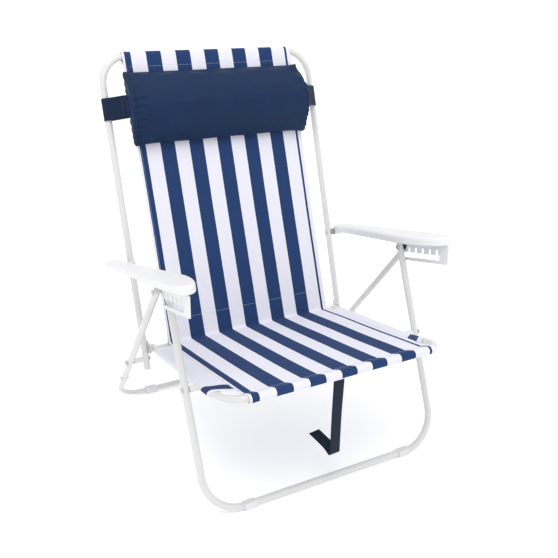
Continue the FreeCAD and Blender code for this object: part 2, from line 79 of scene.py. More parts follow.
P1 = side("back_hinge")
P2 = side("front_leg_hinge")
P4 = side("rear_leg_hinge")
FRONT_BAR = side("strap_hinge")
BACK_UP = unit(joints["pillow_slide"]["axis"][1:3])
BACK_FRONT = np.array([-BACK_UP[1], BACK_UP[0]])
BACK_LENGTH = 0.730               # rear leg pivot to the top bar, along the back tube
TOP_BAR = P4 + BACK_LENGTH * BACK_UP
SEAT_FWD = unit(P2 - P1)
SEAT_UP = np.array([SEAT_FWD[1], -SEAT_FWD[0]])
SEAT_BEND_AHEAD = 0.3339          # seat rail bend, ahead of the back hinge
SEAT_BEND_R = 0.18
SEAT_BEND = P1 + SEAT_BEND_AHEAD * SEAT_FWD
NOSE_FWD = unit(FRONT_BAR - SEAT_BEND)
NOSE_UP = np.array([NOSE_FWD[1], -NOSE_FWD[0]])
CREASE = P1 + np.array([-8.0, 9.0]) * MM
FRONT_SEAM = FRONT_BAR + np.array([29.0, -3.5]) * MM     # closes the pocket of the front bar
CORNER_R = 60.0 * MM              # front corners of the seat frame


# ---- mesh helpers ------------------------------------------------------------------------------
def rounded_path(points, radii, step):
    """Points along a (y, z) polyline whose inner corners are rounded, about step apart."""
    pts = [np.asarray(p, float) for p in points]
    out = [pts[0]]

    def line_to(p):
        start = out[-1]
        n = max(1, int(np.linalg.norm(p - start) / step))
        out.extend(start + (p - start) * (i / n) for i in range(1, n + 1))

    for before, at, after, radius in zip(pts, pts[1:], pts[2:], radii):
        a, b = unit(before - at), unit(after - at)
        half = math.acos(np.clip(a @ b, -1, 1)) / 2
        cut = radius / math.tan(half)
        centre = at + unit(a + b) * radius / math.sin(half)
        first, last = at + a * cut, at + b * cut
        if np.linalg.norm(first - out[-1]) > 1e-6:
            line_to(first)
        sweep = math.pi - 2 * half
        n = max(3, int(radius * sweep / min(step, radius * 0.25)))
        u, w = first - centre, last - centre
        for i in range(1, n + 1):
            t = i / n
            k0 = math.sin((1 - t) * sweep) / math.sin(sweep)
            k1 = math.sin(t * sweep) / math.sin(sweep)
            out.append(centre + k0 * u + k1 * w)
    line_to(pts[-1])
    return np.array(out)


def arc_length(path):
    return np.concatenate([[0], np.cumsum(np.linalg.norm(np.diff(path, axis=0), axis=1))])


def grid_normals(grid):
    n = np.cross(np.gradient(grid, axis=0), np.gradient(grid, axis=1))
    return n / np.maximum(np.linalg.norm(n, axis=2, keepdims=True), 1e-12)


def smooth_noise(x, y, seed, scale):
    return noise.noise(Vector((x * scale, y * scale, seed)))


def mesh_object(name, verts, faces, smooth=True):
    mesh = bpy.data.meshes.new(name)
    mesh.from_pydata([tuple(v) for v in verts], [], faces)
    mesh.update()
    obj = bpy.data.objects.new(name, mesh)
    bpy.context.scene.collection.objects.link(obj)
    for poly in mesh.polygons:
        poly.use_smooth = smooth
    return obj


def sheet_solid(name, grid, thick, uv):
    """Closed thin solid round a grid of mid-surface points."""
    grid = np.asarray(grid, float)
    rows, cols = grid.shape[:2]
    normal = grid_normals(grid)
    half = (np.zeros((rows, cols)) + thick)[..., None] / 2
    verts = np.concatenate([(grid + normal * half).reshape(-1, 3), (grid - normal * half).reshape(-1, 3)])
    low = rows * cols

    def at(i, j):
        return i * cols + j

    faces, coords = [], []

    def add(*corners):
        faces.append([at(i, j) + base for i, j, base in corners])
        coords.extend(uv[i][j] for i, j, _ in corners)

    last = rows - 1
    for i in range(last):
        for j in range(cols - 1):
            add((i, j, 0), (i + 1, j, 0), (i + 1, j + 1, 0), (i, j + 1, 0))
            add((i, j, low), (i, j + 1, low), (i + 1, j + 1, low), (i + 1, j, low))
        add((i, 0, 0), (i, 0, low), (i + 1, 0, low), (i + 1, 0, 0))
        add((i, cols - 1, 0), (i + 1, cols - 1, 0), (i + 1, cols - 1, low), (i, cols - 1, low))
    for j in range(cols - 1):
        add((0, j, 0), (0, j + 1, 0), (0, j + 1, low), (0, j, low))
        add((last, j, 0), (last, j, low), (last, j + 1, low), (last, j + 1, 0))
    obj = mesh_object(name, verts, faces)
    layer = obj.data.uv_layers.new(name="cloth")
    layer.data.foreach_set("uv", np.array(coords, np.float32).ravel())
    return obj


def grid_uv(u, v):
    """UV rows in metres from an array for each direction."""
    uu, vv = np.meshgrid(u, v)
    return np.stack([uu, vv], axis=2)


def stitch_row(name, points, normals, pitch=0.0042, length=0.0031, width=0.00035):
    """Separate thread stitches laid on a line of surface points."""
    points, normals = np.asarray(points, float), np.asarray(normals, float)
    run = arc_length(points)
    verts, faces = [], []
    sides = 6
    for centre in np.arange(pitch, run[-1] - pitch / 2, pitch):
        stations = centre + np.linspace(-length / 2, length / 2, 4)
        place = np.stack([np.interp(stations, run, points[:, k]) for k in range(3)], axis=1)
        up = unit([np.interp(centre, run, normals[:, k]) for k in range(3)])
        way = unit(place[-1] - place[0])
        across = unit(np.cross(way, up))
        base = len(verts)
        for p, swell, lift in zip(place, (0.35, 1.0, 1.0, 0.35), (-0.6, 0.5, 0.5, -0.6)):
            for k in range(sides):
                turn = 2 * math.pi * k / sides
                verts.append(p + up * width * lift
                             + (across * math.cos(turn) + up * math.sin(turn) * 0.8) * width * swell)
        for ring in range(3):
            for k in range(sides):
                a, b = base + ring * sides + k, base + ring * sides + (k + 1) % sides
                faces.append([a, b, b + sides, a + sides])
        faces.append([base + k for k in reversed(range(sides))])
        faces.append([base + 3 * sides + k for k in range(sides)])
    return mesh_object(name, verts, faces)


def cord_mesh(name, points, radius, sides=8, closed=False):
    """Round cord along 3-D points."""
    points = np.asarray(points, float)
    way = np.gradient(points, axis=0)
    if closed:
        way = np.roll(points, -1, axis=0) - np.roll(points, 1, axis=0)
    way /= np.linalg.norm(way, axis=1, keepdims=True)
    verts, faces = [], []
    side_way = unit(np.cross(way[0], [0.3, 0.2, 0.9]))      # any direction across the start
    count = len(points)
    for p, w in zip(points, way):
        side_way = unit(side_way - w * (side_way @ w))
        up = np.cross(w, side_way)
        for k in range(sides):
            turn = 2 * math.pi * k / sides
            verts.append(p + (side_way * math.cos(turn) + up * math.sin(turn)) * radius)
    for i in range(count if closed else count - 1):
        for k in range(sides):
            a, b = i * sides + k, i * sides + (k + 1) % sides
            c, d = ((i + 1) % count) * sides + (k + 1) % sides, ((i + 1) % count) * sides + k
            faces.append([a, b, c, d])
    if not closed:
        faces.append(list(reversed(range(sides))))
        faces.append([(count - 1) * sides + k for k in range(sides)])
    return mesh_object(name, verts, faces)


# ---- materials ---------------------------------------------------------------------------------
class Shader:
    """A principled material and short calls for the nodes that feed it."""

    def __init__(self, name, roughness, metallic=0.0):
        self.material = bpy.data.materials.new(name)
        self.material.use_nodes = True
        self.tree = self.material.node_tree
        self.surface = self.tree.nodes["Principled BSDF"]
        self.surface.inputs["Roughness"].default_value = roughness
        self.surface.inputs["Metallic"].default_value = metallic
        self.coords = self.tree.nodes.new("ShaderNodeTexCoord")

    def plain(self, **values):
        for key, value in values.items():
            self.surface.inputs[key.replace("_", " ")].default_value = value
        return self

    def wire(self, source, node, socket):
        if isinstance(source, bpy.types.NodeSocket):
            self.tree.links.new(source, node.inputs[socket])
        else:
            node.inputs[socket].default_value = source

    def math(self, operation, *sources):
        node = self.tree.nodes.new("ShaderNodeMath")
        node.operation = operation
        for index, source in enumerate(sources):
            self.wire(source, node, index)
        return node.outputs[0]

    def mapping(self, scale, uv=False):
        node = self.tree.nodes.new("ShaderNodeMapping")
        self.tree.links.new(self.coords.outputs["UV" if uv else "Object"], node.inputs["Vector"])
        node.inputs["Scale"].default_value = scale
        return node.outputs[0]

    def noise(self, vector, scale, detail=3.0):
        node = self.tree.nodes.new("ShaderNodeTexNoise")
        self.tree.links.new(vector, node.inputs["Vector"])
        node.inputs["Scale"].default_value = scale
        node.inputs["Detail"].default_value = detail
        return node.outputs[0]

    def mix(self, factor, low, high):
        node = self.tree.nodes.new("ShaderNodeMix")
        node.data_type = "RGBA"
        self.wire(factor, node, 0)
        for index, colour in ((6, low), (7, high)):
            self.wire(colour if isinstance(colour, bpy.types.NodeSocket) else (*colour, 1.0), node, index)
        return node.outputs[2]

    def span(self, source, low, high):
        node = self.tree.nodes.new("ShaderNodeMapRange")
        self.wire(source, node, 0)
        node.inputs["To Min"].default_value = low
        node.inputs["To Max"].default_value = high
        return node.outputs[0]

    def uv(self):
        node = self.tree.nodes.new("ShaderNodeSeparateXYZ")
        self.tree.links.new(self.coords.outputs["UV"], node.inputs[0])
        return node.outputs[0], node.outputs[1]

    def finish(self, colour=None, roughness=None, height=None, strength=0.3, distance=0.0002):
        if colour is not None:
            self.tree.links.new(colour, self.surface.inputs["Base Color"])
        if roughness is not None:
            self.tree.links.new(roughness, self.surface.inputs["Roughness"])
        if height is not None:
            bump = self.tree.nodes.new("ShaderNodeBump")
            bump.inputs["Strength"].default_value = strength
            bump.inputs["Distance"].default_value = distance
            self.tree.links.new(height, bump.inputs["Height"])
            self.tree.links.new(bump.outputs[0], self.surface.inputs["Normal"])
        return self.material


NAVY = (0.0165, 0.040, 0.122)
NAVY_DEEP = (0.0044, 0.0190, 0.0610)
LILAC_WHITE = (0.735, 0.735, 0.815)
STRIPE = 38.0 * MM
STRIPE_START = -207.0 * MM        # first stripe boundary, from the middle of the sling
HEM_LEFT = -223.0 * MM            # white hem outside these
HEM_RIGHT = 217.0 * MM
THREAD_PITCH = 0.0009             # one thread over and one under, in the striped cloth
PILLOW_THREAD_PITCH = 0.0008
RIB_PITCH = 0.0022                # ribs of the webbing
PICK_PITCH = 0.0013               # threads across the webbing


def shades(colour, dark, light):
    """A darker and a lighter tone of one colour."""
    return tuple(c * dark for c in colour), tuple(min(1.0, c * light) for c in colour)


def painted_metal():
    s = Shader("white_powder_coat", 0.3).plain(Coat_Weight=0.25, Coat_Roughness=0.15)
    obj = s.mapping((1, 1, 1))
    cloud = s.noise(obj, 14.0, 4.0)
    colour = s.mix(cloud, (0.60, 0.60, 0.595), (0.66, 0.66, 0.655))
    rough = s.span(s.noise(obj, 60.0), 0.24, 0.40)
    peel = s.noise(obj, 700.0, 2.0)
    return s.finish(colour, rough, peel, 0.12, 0.0001)


def moulded_plastic(name, low, high, rough, grain=1800.0):
    s = Shader(name, rough).plain(Specular_IOR_Level=0.45)
    obj = s.mapping((1, 1, 1))
    colour = s.mix(s.noise(obj, 22.0, 5.0), low, high)
    roughness = s.span(s.noise(obj, 120.0), rough - 0.06, rough + 0.08)
    return s.finish(colour, roughness, s.noise(obj, grain, 3.0), 0.2, 0.00008)


def rivet_steel():
    s = Shader("zinc_steel", 0.35, 1.0)
    obj = s.mapping((1, 1, 1))
    colour = s.mix(s.noise(obj, 250.0), (0.50, 0.50, 0.52), (0.68, 0.68, 0.70))
    rough = s.span(s.noise(obj, 500.0), 0.28, 0.48)
    return s.finish(colour, rough, s.noise(obj, 1500.0), 0.15, 0.00005)


def weave(s, u, v, pitch):
    """Height of a plain weave: crossing threads, each over one and under one."""
    along = s.math("SINE", s.math("MULTIPLY", u, 2 * math.pi / pitch))
    across = s.math("SINE", s.math("MULTIPLY", v, 2 * math.pi / pitch))
    crossing = s.math("MULTIPLY", along, across)
    ribs = s.math("MAXIMUM", s.math("ABSOLUTE", along), s.math("ABSOLUTE", across))
    return s.math("ADD", s.math("MULTIPLY", crossing, 0.5), ribs)


def yarn_shade(s, uv_scale=(1, 1, 1)):
    """Slubs: faint streaks along both thread directions."""
    warp = s.noise(s.mapping((900 * uv_scale[0], 18, 1), uv=True), 1.0, 3.0)
    weft = s.noise(s.mapping((18, 900 * uv_scale[1], 1), uv=True), 1.0, 3.0)
    return s.math("MULTIPLY", s.math("ADD", warp, weft), 0.5)


def striped_cloth():
    s = Shader("striped_sling_cloth", 0.8)
    s.plain(Sheen_Weight=0.04, Sheen_Roughness=0.5, Specular_IOR_Level=0.08)
    u, v = s.uv()
    drift = s.math("SUBTRACT", s.noise(s.mapping((60, 60, 1), uv=True), 1.0), 0.5)
    place = s.math("ADD", u, s.math("MULTIPLY", drift, 0.0008))
    phase = s.math("FRACT", s.math("DIVIDE", s.math("SUBTRACT", place, STRIPE_START), 2 * STRIPE))
    navy = s.math("GREATER_THAN", phase, 0.5)
    past_left = s.math("GREATER_THAN", place, HEM_LEFT)
    before_right = s.math("LESS_THAN", place, HEM_RIGHT)
    inside = s.math("MULTIPLY", past_left, before_right)
    mask = s.math("MULTIPLY", navy, inside)
    slub = yarn_shade(s)
    cloud = s.noise(s.mapping((7, 5, 1), uv=True), 1.0, 4.0)
    tone = s.math("ADD", s.math("MULTIPLY", slub, 0.7), s.math("MULTIPLY", cloud, 0.3))
    white = s.mix(tone, *shades(LILAC_WHITE, 0.90, 1.07))
    blue = s.mix(tone, *shades(NAVY, 0.72, 1.45))
    height = s.math("ADD", weave(s, u, v, THREAD_PITCH), s.math("MULTIPLY", slub, 0.8))
    rough = s.span(slub, 0.66, 0.86)
    return s.finish(s.mix(mask, white, blue), rough, height, 0.35, 0.00022)


def sleeve_cloth(band_low, band_high):
    s = Shader("white_sleeve_cloth", 0.8)
    s.plain(Sheen_Weight=0.04, Sheen_Roughness=0.5, Specular_IOR_Level=0.08)
    u, v = s.uv()
    mask = s.math("MULTIPLY", s.math("GREATER_THAN", v, band_low), s.math("LESS_THAN", v, band_high))
    slub = yarn_shade(s)
    white = s.mix(slub, *shades(LILAC_WHITE, 0.92, 1.07))
    blue = s.mix(slub, *shades(NAVY, 0.72, 1.45))
    height = s.math("ADD", weave(s, u, v, THREAD_PITCH), s.math("MULTIPLY", slub, 0.8))
    return s.finish(s.mix(mask, white, blue), s.span(slub, 0.66, 0.86), height, 0.35, 0.00022)


def pillow_cloth():
    s = Shader("navy_pillow_cloth", 0.5)
    s.plain(Sheen_Weight=0.02, Sheen_Roughness=0.4, Specular_IOR_Level=0.16)
    obj = s.mapping((1, 1, 1))
    split = s.tree.nodes.new("ShaderNodeSeparateXYZ")
    s.tree.links.new(obj, split.inputs[0])
    x, up = split.outputs[0], split.outputs[2]
    warp = s.noise(s.mapping((900, 25, 25)), 1.0, 3.0)
    weft = s.noise(s.mapping((20, 900, 900)), 1.0, 3.0)
    slub = s.math("MULTIPLY", s.math("ADD", warp, weft), 0.5)
    cloud = s.noise(obj, 16.0, 4.0)
    tone = s.math("ADD", s.math("MULTIPLY", slub, 0.5), s.math("MULTIPLY", cloud, 0.5))
    colour = s.mix(tone, *shades(NAVY_DEEP, 0.70, 1.45))
    height = s.math("ADD", weave(s, x, up, PILLOW_THREAD_PITCH), s.math("MULTIPLY", slub, 0.6))
    return s.finish(colour, s.span(slub, 0.42, 0.60), height, 0.3, 0.0002)


def webbing(name, low, high):
    """Ribbed polyester webbing: v runs along the strap, u across it."""
    s = Shader(name, 0.6).plain(Sheen_Weight=0.03, Sheen_Roughness=0.4, Specular_IOR_Level=0.15)
    u, v = s.uv()
    rib = s.math("SINE", s.math("MULTIPLY", u, 2 * math.pi / RIB_PITCH))
    zig = s.math("PINGPONG", s.math("DIVIDE", u, RIB_PITCH), 1.0)
    slant = s.math("ADD", v, s.math("MULTIPLY", zig, RIB_PITCH / 2))
    chevron = s.math("SINE", s.math("MULTIPLY", slant, 2 * math.pi / PICK_PITCH))
    height = s.math("ADD", s.math("MULTIPLY", rib, 0.5), s.math("MULTIPLY", chevron, 0.5))
    # painted shade: 35% of the colour follows the rib relief, darker in the troughs and lighter on the crests; the
    # rest is random yarn tone
    tone = s.math("ADD", s.math("MULTIPLY", s.span(height, 0.0, 1.0), 0.35),
                  s.math("MULTIPLY", yarn_shade(s), 0.65))
    return s.finish(s.mix(tone, low, high), s.span(tone, 0.5, 0.72), height, 0.5, 0.0003)


def thread(name, colour):
    s = Shader(name, 0.7).plain(Sheen_Weight=0.3)
    tone = s.noise(s.mapping((1, 1, 1)), 2500.0, 2.0)
    return s.finish(s.mix(tone, tuple(c * 0.75 for c in colour), colour), None, tone, 0.3, 0.0001)


BAND = (0.015, 0.048)             # navy patch on the seat sleeves, from their front edge
METAL = painted_metal()
ARM_PLASTIC = moulded_plastic("white_arm_plastic", (0.70, 0.70, 0.71), (0.76, 0.76, 0.77), 0.42)
CLIP_PLASTIC = moulded_plastic("white_clip_plastic", (0.64, 0.64, 0.65), (0.72, 0.72, 0.73), 0.34)
DARK_PLASTIC = moulded_plastic("dark_washer_plastic", (0.012, 0.012, 0.016), (0.030, 0.030, 0.036), 0.45)
GREY_PLASTIC = moulded_plastic("grey_pivot_plastic", (0.20, 0.20, 0.21), (0.30, 0.30, 0.31), 0.45)
RIVET = rivet_steel()
SLING_CLOTH = striped_cloth()
SLEEVE_CLOTH = sleeve_cloth(*BAND)
PILLOW_CLOTH = pillow_cloth()
NAVY_WEBBING = webbing("navy_webbing", (0.003, 0.009, 0.030), (0.009, 0.024, 0.066))
DARK_WEBBING = webbing("dark_navy_webbing", (0.004, 0.008, 0.018), (0.013, 0.026, 0.052))
PALE_THREAD = thread("pale_thread", (0.62, 0.66, 0.80))
NAVY_THREAD = thread("navy_thread", (0.050, 0.085, 0.190))

CAD_MATERIALS = {
    "frame_paint": METAL, "white_plastic": CLIP_PLASTIC, "arm_plastic": ARM_PLASTIC,
    "dark_plastic": DARK_PLASTIC, "rivet_steel": RIVET}
for part in frame["record"]["subparts"]:
    if part["material_slot"] in CAD_MATERIALS:
        mesh = nodes[part["node"]].data
        mesh.materials.clear()
        pivot = part["node"].startswith("arm_pivot_washer")
        mesh.materials.append(GREY_PLASTIC if pivot else CAD_MATERIALS[part["material_slot"]])


def dress(obj, material):
    obj.data.materials.clear()
    obj.data.materials.append(material)
    return obj


# ---- sling: one length of cloth from the front bar over the crease to the top bar --------------
def sling_path(step):
    """Side path of the cloth: hem flap, round the front bar, seat, crease, back, round the top bar."""
    way = unit(FRONT_SEAM - FRONT_BAR)
    up = np.array([-way[1], way[0]]) * (-1 if way[0] < 0 else 1)
    under = FRONT_SEAM - (CLOTH + 0.0003) * up
    lean = SKIN * math.tan(math.asin(SKIN / np.linalg.norm(FRONT_SEAM - FRONT_BAR)) / 2)
    nose = [under + 0.008 * way,
            under,
            FRONT_BAR - SKIN * up + lean * way,
            FRONT_BAR - SKIN * up - SKIN * way,
            FRONT_BAR + SKIN * up - SKIN * way,
            FRONT_BAR + SKIN * up + lean * way,
            FRONT_SEAM]
    head = [TOP_BAR + SKIN * BACK_FRONT + SKIN * BACK_UP,
            TOP_BAR - SKIN * BACK_FRONT + SKIN * BACK_UP,
            TOP_BAR - SKIN * BACK_FRONT - 0.008 * BACK_UP,
            TOP_BAR + (SKIN - CLOTH - 0.0002) * BACK_FRONT - 0.026 * BACK_UP,
            TOP_BAR + (SKIN - CLOTH + 0.0002) * BACK_FRONT - 0.034 * BACK_UP]
    radii = [0.006, 0.0078, 0.0083, 0.0083, 0.0078, 0.012, 0.007, 0.0085, 0.0085, 0.006, 0.006]
    return rounded_path(nose + [CREASE] + head, radii, step)


path = sling_path(0.0035)
run = arc_length(path)


def run_at(point):
    return run[np.argmin(np.linalg.norm(path - point, axis=1))]


RUN_FRONT = float(run[path[:, 0] < FRONT_SEAM[0]][-1])                # hem seam behind the front bar
RUN_CREASE = run_at(CREASE)
RUN_LOOP = RUN_CREASE + 0.056                                         # crossbar loop seam
RUN_TOP = run_at(TOP_BAR + SKIN * BACK_FRONT - 0.027 * BACK_UP)       # hem seam below the top bar
HEM_WIDE = 0.013                  # side hem, where the cloth is doubled
HEM_EXTRA = 0.0008
EDGE_STITCH_IN = 0.0085           # stitch line of the side hem, from the edge
SEAT_SAG = 0.0016
BACK_SAG = 0.0035
BACK_WAIST = 0.0016               # how far the back panel's edges draw in at mid height

across = np.concatenate([
    np.linspace(-SLING_HALF, -SLING_HALF + 0.016, 9),
    np.linspace(-SLING_HALF + 0.020, SLING_HALF - 0.020, 104),
    np.linspace(SLING_HALF - 0.016, SLING_HALF, 9)])


def sling_relief(x, s):
    """How far the cloth stands off its path: slack in the panels, puckers along the seams."""
    lift = 0.0
    seat_span = np.clip((s - RUN_FRONT) / (RUN_CREASE - RUN_FRONT), 0, 1)
    back_span = np.clip((s - RUN_CREASE) / (RUN_TOP - RUN_CREASE), 0, 1)
    middle = 1 - (x / SLING_HALF) ** 2
    lift -= SEAT_SAG * math.sin(math.pi * seat_span) * middle
    lift -= BACK_SAG * math.sin(math.pi * back_span) * middle
    free = math.sin(math.pi * seat_span) + math.sin(math.pi * back_span)
    lift += 0.0011 * min(1.0, free * 1.5) * smooth_noise(x, s, 3.0, 7.0)
    for seam, reach, seed in ((RUN_FRONT, 0.016, 5.0), (RUN_TOP, 0.016, 9.0), (RUN_LOOP, 0.012, 13.0),
                              (RUN_CREASE, 0.010, 17.0)):
        fade = math.exp(-((s - seam) / reach) ** 2)
        lift += 0.00075 * fade * smooth_noise(x, 0.0, seed, 62.0)
        lift -= 0.0005 * math.exp(-((s - seam) / 0.0022) ** 2)
    return lift


def sling_grid():
    tangent = np.gradient(path, axis=0)
    tangent /= np.linalg.norm(tangent, axis=1, keepdims=True)
    up = np.stack([-tangent[:, 1], tangent[:, 0]], axis=1)
    grid = np.zeros((len(path), len(across), 3))
    for i, (p, n, s) in enumerate(zip(path, up, run)):
        waist = BACK_WAIST * math.sin(math.pi * np.clip((s - RUN_CREASE) / (RUN_TOP - RUN_CREASE), 0, 1))
        on_panel = RUN_FRONT - 0.03 < s < RUN_TOP + 0.03
        for j, x in enumerate(across):
            lift = sling_relief(x, s) if on_panel else 0.0
            pull = waist * (x / SLING_HALF) ** 3
            grid[i, j] = (x - pull, p[0] + n[0] * lift, p[1] + n[1] * lift)
    return grid


grid = sling_grid()
hem = np.where(np.abs(across) > SLING_HALF - HEM_WIDE, HEM_EXTRA, 0.0)
sling = sheet_solid("sling", grid, CLOTH + hem[None, :], grid_uv(across, run))
dress(sling, SLING_CLOTH)
SURFACE = grid_normals(grid)
if SURFACE[len(path) // 4, len(across) // 2, 2] < 0:
    SURFACE = -SURFACE


def seam_across(name, s, material):
    i = int(np.argmin(np.abs(run - s)))
    surface = grid[i] + SURFACE[i] * CLOTH / 2
    return dress(stitch_row(name, surface, SURFACE[i]), material)


front_seam = seam_across("front_hem_stitches", RUN_FRONT, PALE_THREAD)
top_seam = seam_across("top_hem_stitches", RUN_TOP, PALE_THREAD)
loop_seam = seam_across("crossbar_loop_stitches", RUN_LOOP, PALE_THREAD)
edge_seams = []
for label, x_seam in (("left", -SLING_HALF + EDGE_STITCH_IN), ("right", SLING_HALF - EDGE_STITCH_IN)):
    j = int(np.argmin(np.abs(across - x_seam)))
    rows = (run > RUN_CREASE + 0.02) & (run < RUN_TOP)
    surface = grid[rows, j] + SURFACE[rows, j] * (CLOTH / 2 + 0.0004)
    seam = stitch_row("back_edge_stitches_" + label, surface, SURFACE[rows, j])
    edge_seams.append(dress(seam, PALE_THREAD))

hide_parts("seat_sling", "back_sling")
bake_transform(sling)
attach(front_seam, "seat")
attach(top_seam, "back")
for piece in (loop_seam, *edge_seams):
    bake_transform(piece)

# loop under the crease that holds the rear crossbar
LOOP_SKIN = CROSS_R + CLOTH / 2
back_way = unit(TOP_BAR + SKIN * BACK_FRONT - CREASE)
back_rear = np.array([back_way[1], -back_way[0]])
loop_points = [
    P1 + 0.036 * SEAT_FWD + (SKIN - CLOTH - 0.0056) * SEAT_UP,
    P1 + 0.024 * SEAT_FWD + (SKIN - CLOTH - 0.0058) * SEAT_UP,
    P1 - LOOP_SKIN * SEAT_UP + 0.004 * SEAT_FWD,
    P1 - LOOP_SKIN * SEAT_UP - LOOP_SKIN * SEAT_FWD,
    CREASE + 0.020 * back_way + 0.0080 * back_rear,
    CREASE + 0.046 * back_way + (CLOTH + 0.0018) * back_rear,
    CREASE + 0.062 * back_way + (CLOTH + 0.0018) * back_rear]
loop_path = rounded_path(loop_points, [0.006, 0.005, 0.0064, 0.008, 0.01], 0.003)
loop_x = np.linspace(-SLING_HALF + 0.002, SLING_HALF - 0.002, 60)
loop_grid = np.zeros((len(loop_path), len(loop_x), 3))
for i, p in enumerate(loop_path):
    loop_grid[i] = np.stack([loop_x, np.full(len(loop_x), p[0]), np.full(len(loop_x), p[1])], axis=1)
loop = sheet_solid("crossbar_loop", loop_grid, CLOTH * 0.9, grid_uv(loop_x, arc_length(loop_path)))
dress(loop, SLING_CLOTH)
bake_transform(loop)

# ---- side sleeves of the seat: cloth wrapped round each rail -----------------------------------
SLEEVE_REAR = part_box("seat_sleeve_right")[1].y
SLEEVE_END = FRONT_BAR[0] + 0.045         # front edge beside the panel
SLEEVE_SLANT = 0.045                      # how much further back it ends on the outer side
SLEEVE_COLUMNS = 50
SLEEVE_ROWS = 130
SLEEVE_COLUMN_WIDE = 0.0021               # width of cloth that one column stands for
SLEEVE_SEAM_COLUMN = 1                    # stitched near the flap's edge


def rail_stations(step):
    """Centre line of the right rail from rear to front: point, outward way and up way."""
    flat = rounded_path([P1, SEAT_BEND, FRONT_BAR - CORNER_R * NOSE_FWD], [SEAT_BEND_R], step)
    flat = flat[flat[:, 0] < SLEEVE_REAR]
    out = []
    for i, p in enumerate(flat):
        way = unit(flat[min(i + 1, len(flat) - 1)] - flat[max(i - 1, 0)])
        out.append((np.array([RAIL_X, *p]), np.array([1.0, 0, 0]), np.array([0.0, way[1], -way[0]])))
    fwd = np.array([0.0, *NOSE_FWD])
    up = np.array([0.0, *NOSE_UP])
    centre = np.array([RAIL_X - CORNER_R, *(FRONT_BAR - CORNER_R * NOSE_FWD)])
    n = int(CORNER_R / step)
    for k in range(1, n + 1):
        turn = k / n
        outward = np.array([1.0, 0, 0]) * math.cos(turn) + fwd * math.sin(turn)
        out.append((centre + outward * CORNER_R, outward, up))
    return out


def sleeve_section(rise):
    """(outward, up) points of the wrapped cloth, from the flap edge over the rail and back under."""
    inner = RAIL_X - SLING_HALF - 0.0006
    flap = [(-a, SKIN + 0.0002 + rise * (a / inner) ** 1.5) for a in np.linspace(inner, 0.002, 10)]
    over = [(SKIN * math.sin(t), SKIN * math.cos(t)) for t in np.linspace(0.0, math.pi + 0.35, 22)]
    tail_start = np.array(over[-1])
    tail_end = np.array([-inner + 0.013, SKIN - CLOTH - 0.0008 + rise * 0.4])
    tail = [tuple(tail_start + (tail_end - tail_start) * t) for t in np.linspace(0.18, 1.0, 8)]
    return flap + over + tail


def sleeve_grid():
    """Sleeve cloth whose front edge runs slantwise: further forward on the panel side."""
    panel = (run > RUN_FRONT - 0.02) & (run < RUN_CREASE)
    order = np.argsort(path[panel, 0])
    full = []
    for point, outward, up in rail_stations(0.002):
        sling_z = np.interp(point[1], path[panel, 0][order], path[panel, 1][order])
        section = np.array(sleeve_section(max(0.0, sling_z - point[2] - SKIN)))
        run_in = arc_length(section)
        even = np.linspace(0, run_in[-1], SLEEVE_COLUMNS)
        a = np.interp(even, run_in, section[:, 0])
        b = np.interp(even, run_in, section[:, 1])
        slack = np.clip(-a / 0.012, 0, 1) * np.clip((a + 0.034) / 0.008, 0, 1)
        b = b + slack * np.array([0.0011 * smooth_noise(point[1], t, 21.0, 30.0) for t in even])
        full.append(point + a[:, None] * outward + b[:, None] * up)
    full = np.array(full)
    cloth = np.zeros((SLEEVE_ROWS, SLEEVE_COLUMNS, 3))
    marks = np.zeros((SLEEVE_ROWS, SLEEVE_COLUMNS, 2))
    slant = np.clip(np.arange(SLEEVE_COLUMNS) / (SLEEVE_COLUMNS * 0.55), 0, 1)
    ends = SLEEVE_END + SLEEVE_SLANT * slant
    for j in range(SLEEVE_COLUMNS):
        column = full[:, j]
        marks_in = arc_length(column)
        stop = np.interp(-ends[j], -column[:, 1], marks_in)
        even = np.linspace(0, stop, SLEEVE_ROWS)
        cloth[:, j] = np.stack([np.interp(even, marks_in, column[:, k]) for k in range(3)], axis=1)
        marks[:, j, 0] = j * SLEEVE_COLUMN_WIDE
        marks[:, j, 1] = stop - even
    return cloth, marks


def mirrored(grid):
    return grid * np.array([-1.0, 1.0, 1.0])


sleeve_right_grid, sleeve_marks = sleeve_grid()
for label, g in (("right", sleeve_right_grid), ("left", mirrored(sleeve_right_grid))):
    sleeve = sheet_solid("seat_sleeve_" + label + "_cloth", g, CLOTH, sleeve_marks)
    dress(sleeve, SLEEVE_CLOTH)
    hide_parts("seat_sleeve_" + label)
    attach(sleeve, "seat")
    normal = grid_normals(g)
    if normal[5, 2, 2] < 0:
        normal = -normal
    seam_normal = normal[:, SLEEVE_SEAM_COLUMN]
    seam_line = g[:, SLEEVE_SEAM_COLUMN] + seam_normal * CLOTH / 2
    seam = dress(stitch_row("sleeve_seam_" + label, seam_line, seam_normal), PALE_THREAD)
    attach(seam, "seat")

# ---- headrest pillow ---------------------------------------------------------------------------
PILLOW_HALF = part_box("headrest_pillow")[1].x
# outline corners: along the back tube from the rear leg pivot, and out from the tube's axis
PILLOW_PROFILE = [(0.696, 0.0155), (0.693, 0.0250), (0.632, 0.0610), (0.602, 0.0690), (0.569, 0.0610),
                  (0.510, 0.0310), (0.506, 0.0205)]
PILLOW_RADII = [0.003, 0.004, 0.034, 0.022, 0.034, 0.006, 0.004]
WELT_R = 0.0011


def back_point(x, along, off):
    yz = P4 + along * BACK_UP + off * BACK_FRONT
    return np.array([x, yz[0], yz[1]])


def pillow_profile(count):
    """Rounded closed outline (along, off) of the bolster, count points evenly spaced."""
    pts = [np.array(p) for p in PILLOW_PROFILE]
    mid = (pts[-1] + pts[0]) / 2
    loop_pts = rounded_path([mid, *pts, mid], PILLOW_RADII, 0.002)
    marks = arc_length(loop_pts)
    even = np.linspace(0, marks[-1], count, endpoint=False)
    return np.stack([np.interp(even, marks, loop_pts[:, k]) for k in range(2)], axis=1)


